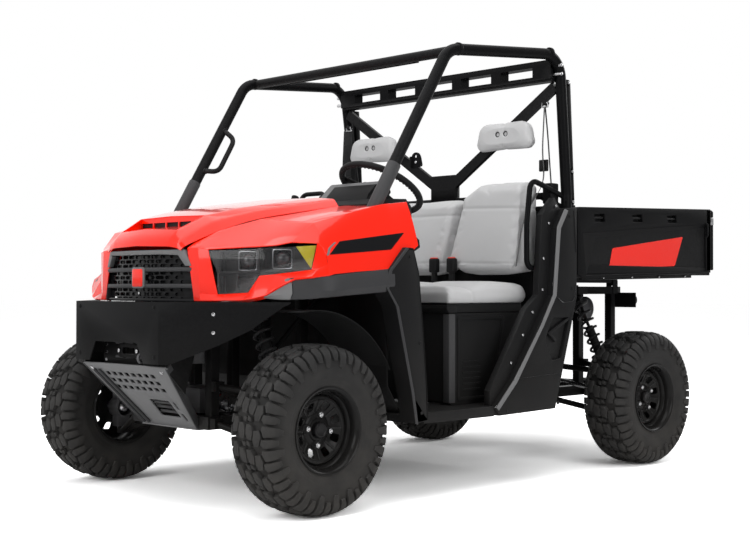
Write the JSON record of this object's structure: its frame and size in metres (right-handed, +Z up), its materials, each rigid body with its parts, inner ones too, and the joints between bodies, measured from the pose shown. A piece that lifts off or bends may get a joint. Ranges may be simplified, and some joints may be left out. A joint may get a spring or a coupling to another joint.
{
  "type": "side by side utility vehicle",
  "caption": "Open side-by-side utility vehicle with a bench cab under a roll cage, steered front wheels, lifting hood and a tilting cargo bed with tailgate.",
  "frame": {"origin": "on the ground, below the middle of the vehicle's box", "axes": "+X forward, +Y to the vehicle's left, +Z up"},
  "size_m": [3.26, 1.619, 1.9499],
  "materials": {
    "frame_black": "satin black powder coat",
    "body_orange": "gloss orange-red moulded panel",
    "trim_black": "grained black moulding",
    "trim_grey": "grained dark grey moulding",
    "tyre_rubber": "matt rubber",
    "rim_steel": "gloss black steel wheel",
    "cast_metal": "bare casting",
    "bright_steel": "machined",
    "spring_steel": "black coil spring",
    "seat_vinyl": "light grey vinyl",
    "belt_web": "black webbing",
    "wheel_grip": "soft black grip",
    "lens_clear": "clear lens",
    "lamp_red": "red lens"
  },
  "bodies": {
    "chassis": {"lower_frame": "frame_black", "front_frame": "frame_black", "rear_frame": "frame_black", "hitch_receiver": "frame_black", "skid_plate": "frame_black", "bumper": "frame_black", "rear_uprights": "cast_metal", "front_arms": "frame_black", "rear_arms": "frame_black", "dampers": "bright_steel", "gearcases": "cast_metal", "engine": "cast_metal", "half_shafts": "bright_steel", "steering_column": "frame_black", "floor_pan": "trim_black", "firewall": "trim_black", "dash": "trim_black", "seat_base": "trim_black", "seat_cushion": "seat_vinyl", "seat_backs": "seat_vinyl", "cage_hoops": "frame_black", "cage_headers": "frame_black", "seat_brace": "frame_black", "hip_hoops": "frame_black", "headrests": "seat_vinyl", "side_panels": "trim_black", "pillar_trims": "trim_black", "fenders": "body_orange", "flares": "trim_grey", "lamp_housings": "trim_black", "lamp_lenses": "lens_clear", "grille": "trim_black", "radiator": "cast_metal"},
    "hood": {"hood": "body_orange"},
    "rack": {"rack_and_tie_rods": "bright_steel"},
    "steering_wheel": {"steering_wheel": "wheel_grip"},
    "knuckle_left": {"knuckle_left": "cast_metal"},
    "knuckle_right": {"knuckle_right": "cast_metal"},
    "wheel_front_left": {"tyre_front_left": "tyre_rubber", "rim_front_left": "rim_steel"},
    "wheel_front_right": {"tyre_front_right": "tyre_rubber", "rim_front_right": "rim_steel"},
    "wheel_rear_left": {"tyre_rear_left": "tyre_rubber", "rim_rear_left": "rim_steel"},
    "wheel_rear_right": {"tyre_rear_right": "tyre_rubber", "rim_rear_right": "rim_steel"},
    "cargo_bed": {"bed_tub": "trim_black", "bed_frame": "frame_black"},
    "tailgate": {"tailgate": "trim_black"}
  },
  "joints": [
    {"name": "hood_lift", "type": "hinge", "parent": "chassis", "child": "hood", "pos_m": [0.876, 0, 1.2], "axis": [0, -1, 0], "range_deg": [0, 50]},
    {"name": "steer_left", "type": "hinge", "parent": "chassis", "child": "knuckle_left", "pos_m": [1.2, 0.6, 0.325], "axis": [0, 0, 1], "range_deg": [-30, 30]},
    {"name": "steer_right", "type": "hinge", "parent": "chassis", "child": "knuckle_right", "pos_m": [1.2, -0.6, 0.325], "axis": [0, 0, 1], "range_deg": [-30, 30]},
    {"name": "rack_travel", "type": "slide", "parent": "chassis", "child": "rack", "axis": [0, 1, 0], "range_m": [-0.05, 0.05]},
    {"name": "steering_wheel_turn", "type": "hinge", "parent": "chassis", "child": "steering_wheel", "pos_m": [0.587, 0.43, 1.286], "axis": [-0.515, 0, 0.8572], "range_deg": [-270, 270]},
    {"name": "spin_front_left", "type": "hinge", "parent": "knuckle_left", "child": "wheel_front_left", "pos_m": [1.2, 0.673, 0.325], "axis": [0, 1, 0], "continuous": true},
    {"name": "spin_front_right", "type": "hinge", "parent": "knuckle_right", "child": "wheel_front_right", "pos_m": [1.2, -0.673, 0.325], "axis": [0, 1, 0], "continuous": true},
    {"name": "spin_rear_left", "type": "hinge", "parent": "chassis", "child": "wheel_rear_left", "pos_m": [-0.95, 0.695, 0.325], "axis": [0, 1, 0], "continuous": true},
    {"name": "spin_rear_right", "type": "hinge", "parent": "chassis", "child": "wheel_rear_right", "pos_m": [-0.95, -0.695, 0.325], "axis": [0, 1, 0], "continuous": true},
    {"name": "bed_tilt", "type": "hinge", "parent": "chassis", "child": "cargo_bed", "pos_m": [-1.4, 0, 0.896], "axis": [0, -1, 0], "range_deg": [0, 40]},
    {"name": "tailgate_drop", "type": "hinge", "parent": "cargo_bed", "child": "tailgate", "pos_m": [-1.577, 0, 0.948], "axis": [0, -1, 0], "range_deg": [0, 90]}
  ],
  "couplings": [
    {"joint": "steer_right", "follows": "steer_left", "ratio": 1},
    {"joint": "rack_travel", "follows": "steer_left", "m_per_rad": -0.09},
    {"joint": "steering_wheel_turn", "follows": "steer_left", "ratio": 9}
  ]
}
